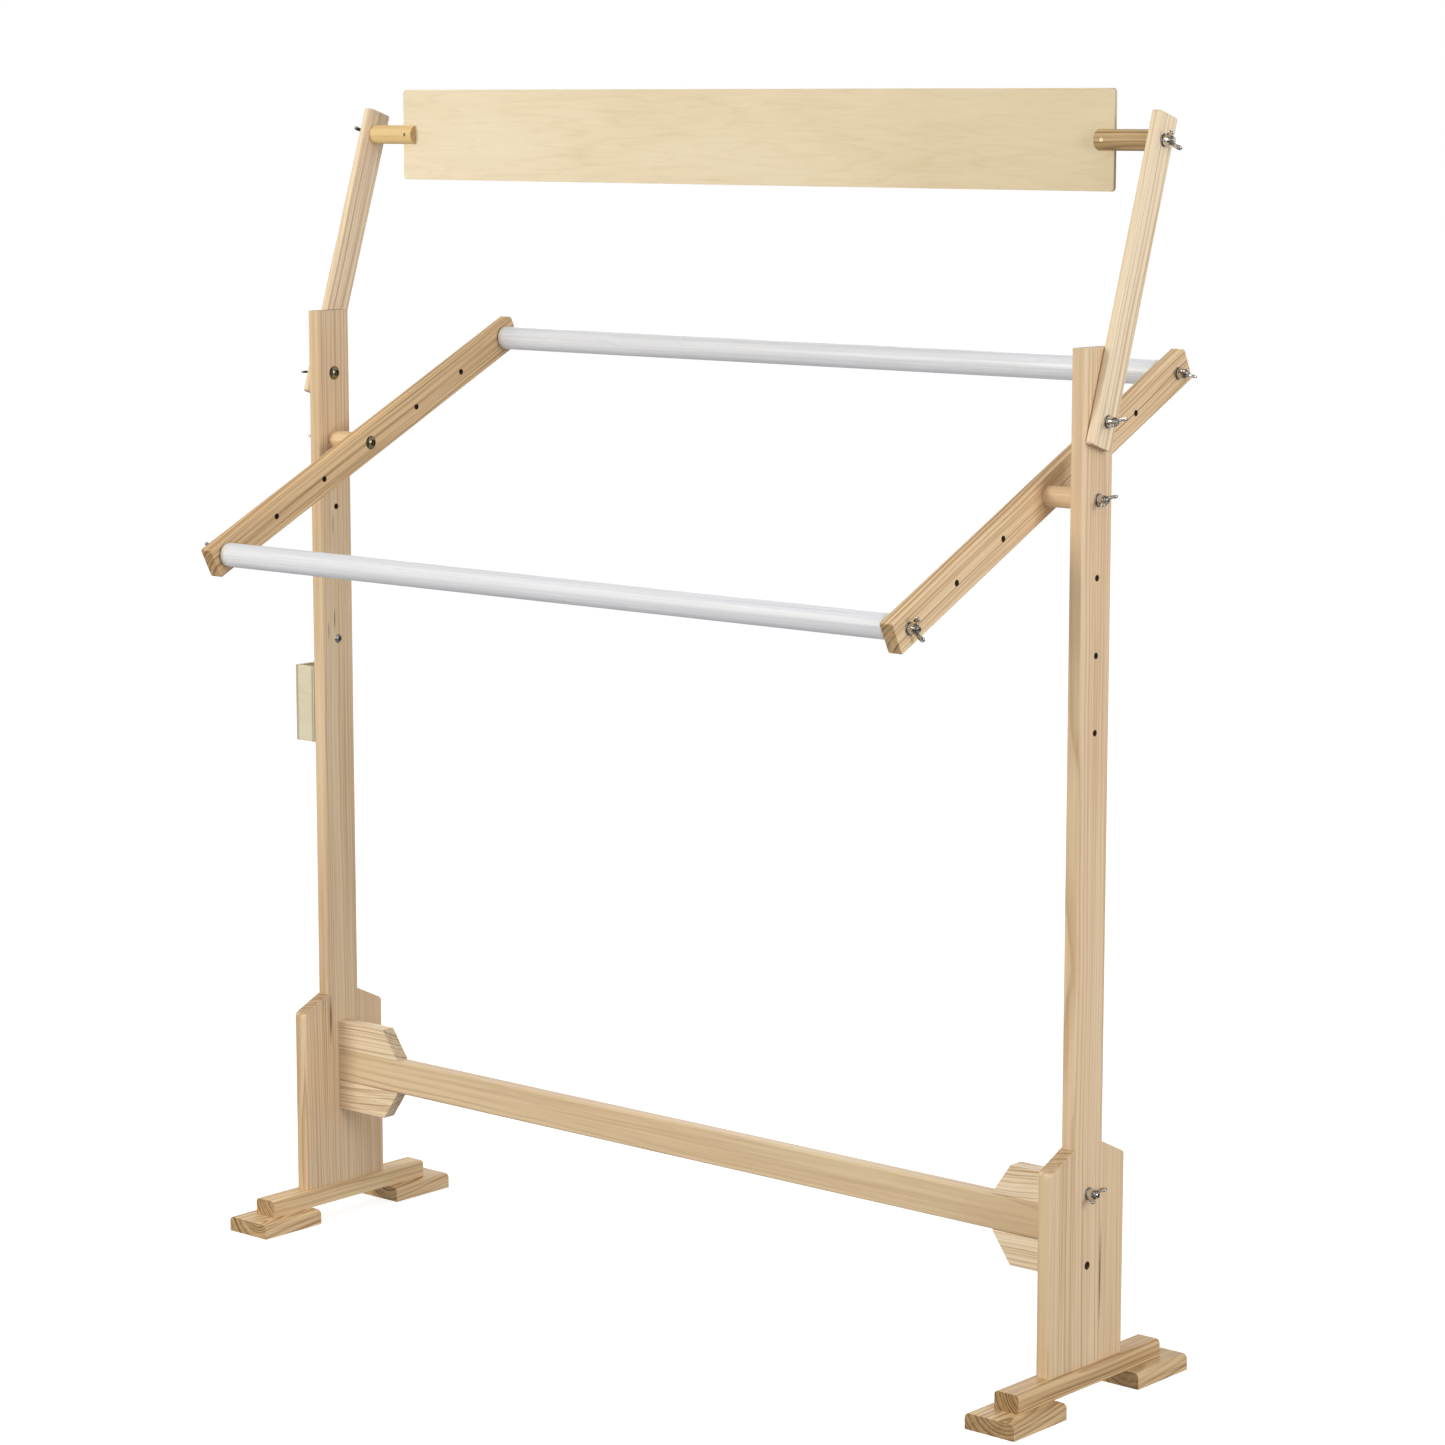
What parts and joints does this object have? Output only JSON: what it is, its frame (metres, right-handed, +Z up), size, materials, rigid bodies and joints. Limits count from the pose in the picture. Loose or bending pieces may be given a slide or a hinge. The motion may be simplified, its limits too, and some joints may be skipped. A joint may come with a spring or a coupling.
{
  "type": "embroidery scroll frame stand",
  "caption": "Floor-standing wooden embroidery scroll frame: tilting side arms hold two fabric tubes between posts, with a chart holder above and a side pocket.",
  "frame": {"origin": "on the floor, midway between the two legs and midway between the ends of the feet", "axes": "+X from the left leg to the right leg, -Y towards the seated user, +Z up"},
  "size_m": [1.0741, 0.461, 1.2285],
  "materials": {
    "pine": "satin",
    "pine_warm": "satin",
    "pine_pale": "satin",
    "plywood": "matte",
    "white_plastic": "satin",
    "zinc": "satin",
    "dark_steel": "satin"
  },
  "bodies": {
    "stand": {"left_post": "pine", "right_post": "pine", "left_front_gusset": "pine", "left_rear_gusset": "pine", "right_front_gusset": "pine", "right_rear_gusset": "pine", "left_foot_rail": "pine_warm", "right_foot_rail": "pine_warm", "left_front_pad": "pine", "left_rear_pad": "pine", "right_front_pad": "pine", "right_rear_pad": "pine", "stretcher_bar": "pine_warm", "left_upper_brace": "pine_pale", "left_lower_brace": "pine_pale", "right_upper_brace": "pine_pale", "right_lower_brace": "pine_pale", "leg_studs": "dark_steel", "leg_locating_dowels": "pine_warm", "foot_screws": "zinc", "stand_washers": "zinc", "pocket_back": "plywood", "pocket_outer_wall": "plywood", "pocket_end_walls": "plywood", "pocket_floor": "plywood", "left_post_screw": "zinc"},
    "scroll_frame": {"left_frame_arm": "pine_pale", "right_frame_arm": "pine_pale", "left_spacer": "pine_warm", "right_spacer": "pine_warm", "frame_pivot_bolts": "dark_steel", "frame_washers": "zinc"},
    "front_roller": {"front_tube": "white_plastic", "front_tube_plugs": "white_plastic", "front_tube_studs": "dark_steel"},
    "rear_roller": {"rear_tube": "white_plastic", "rear_tube_plugs": "white_plastic", "rear_tube_studs": "dark_steel"},
    "chart_arms": {"left_chart_arm": "pine_pale", "right_chart_arm": "pine_pale", "chart_arm_bolts": "dark_steel", "chart_arm_washers": "zinc"},
    "chart_board": {"chart_panel": "plywood", "left_panel_rod": "pine_warm", "right_panel_rod": "pine_warm", "panel_screws": "dark_steel", "panel_studs": "dark_steel"},
    "left_leg_wing_nut_body": {"left_leg_wing_nut": "zinc"},
    "right_leg_wing_nut_body": {"right_leg_wing_nut": "zinc"},
    "left_pivot_wing_nut_body": {"left_pivot_wing_nut": "zinc"},
    "right_pivot_wing_nut_body": {"right_pivot_wing_nut": "zinc"},
    "front_left_wing_nut_body": {"front_left_wing_nut": "zinc"},
    "front_right_wing_nut_body": {"front_right_wing_nut": "zinc"},
    "rear_left_wing_nut_body": {"rear_left_wing_nut": "zinc"},
    "rear_right_wing_nut_body": {"rear_right_wing_nut": "zinc"},
    "left_chart_wing_nut_body": {"left_chart_wing_nut": "zinc"},
    "right_chart_wing_nut_body": {"right_chart_wing_nut": "zinc"},
    "left_panel_wing_nut_body": {"left_panel_wing_nut": "zinc"},
    "right_panel_wing_nut_body": {"right_panel_wing_nut": "zinc"}
  },
  "joints": [
    {"name": "frame_tilt", "type": "hinge", "parent": "stand", "child": "scroll_frame", "pos_m": [0, 0, 0.856], "axis": [1, 0, 0], "continuous": true},
    {"name": "front_roller_turn", "type": "hinge", "parent": "scroll_frame", "child": "front_roller", "pos_m": [0, -0.20691, 0.75329], "axis": [1, 0, 0], "continuous": true},
    {"name": "rear_roller_turn", "type": "hinge", "parent": "scroll_frame", "child": "rear_roller", "pos_m": [0, 0.20691, 0.95871], "axis": [1, 0, 0], "continuous": true},
    {"name": "chart_arm_tilt", "type": "hinge", "parent": "stand", "child": "chart_arms", "pos_m": [0, 0, 0.928], "axis": [-1, 0, 0], "range_deg": [-85, 50]},
    {"name": "chart_board_tilt", "type": "hinge", "parent": "chart_arms", "child": "chart_board", "pos_m": [0, 0.0822, 1.18098], "axis": [1, 0, 0], "continuous": true},
    {"name": "left_leg_wing_nut_turn", "type": "hinge", "parent": "stand", "child": "left_leg_wing_nut_body", "pos_m": [-0.511, 0, 0.202], "axis": [-1, 0, 0], "continuous": true},
    {"name": "right_leg_wing_nut_turn", "type": "hinge", "parent": "stand", "child": "right_leg_wing_nut_body", "pos_m": [0.511, 0, 0.202], "axis": [1, 0, 0], "continuous": true},
    {"name": "left_pivot_wing_nut_turn", "type": "hinge", "parent": "scroll_frame", "child": "left_pivot_wing_nut_body", "pos_m": [-0.511, 0, 0.856], "axis": [-1, 0, 0], "continuous": true},
    {"name": "right_pivot_wing_nut_turn", "type": "hinge", "parent": "scroll_frame", "child": "right_pivot_wing_nut_body", "pos_m": [0.511, 0, 0.856], "axis": [1, 0, 0], "continuous": true},
    {"name": "front_left_wing_nut_turn", "type": "hinge", "parent": "front_roller", "child": "front_left_wing_nut_body", "pos_m": [-0.455, -0.20691, 0.75329], "axis": [-1, 0, 0], "continuous": true},
    {"name": "front_right_wing_nut_turn", "type": "hinge", "parent": "front_roller", "child": "front_right_wing_nut_body", "pos_m": [0.455, -0.20691, 0.75329], "axis": [1, 0, 0], "continuous": true},
    {"name": "rear_left_wing_nut_turn", "type": "hinge", "parent": "rear_roller", "child": "rear_left_wing_nut_body", "pos_m": [-0.455, 0.20691, 0.95871], "axis": [-1, 0, 0], "continuous": true},
    {"name": "rear_right_wing_nut_turn", "type": "hinge", "parent": "rear_roller", "child": "rear_right_wing_nut_body", "pos_m": [0.455, 0.20691, 0.95871], "axis": [1, 0, 0], "continuous": true},
    {"name": "left_chart_wing_nut_turn", "type": "hinge", "parent": "chart_arms", "child": "left_chart_wing_nut_body", "pos_m": [-0.52, 0, 0.928], "axis": [-1, 0, 0], "continuous": true},
    {"name": "right_chart_wing_nut_turn", "type": "hinge", "parent": "chart_arms", "child": "right_chart_wing_nut_body", "pos_m": [0.52, 0, 0.928], "axis": [1, 0, 0], "continuous": true},
    {"name": "left_panel_wing_nut_turn", "type": "hinge", "parent": "chart_board", "child": "left_panel_wing_nut_body", "pos_m": [-0.52, 0.0822, 1.18098], "axis": [-1, 0, 0], "continuous": true},
    {"name": "right_panel_wing_nut_turn", "type": "hinge", "parent": "chart_board", "child": "right_panel_wing_nut_body", "pos_m": [0.52, 0.0822, 1.18098], "axis": [1, 0, 0], "continuous": true}
  ]
}
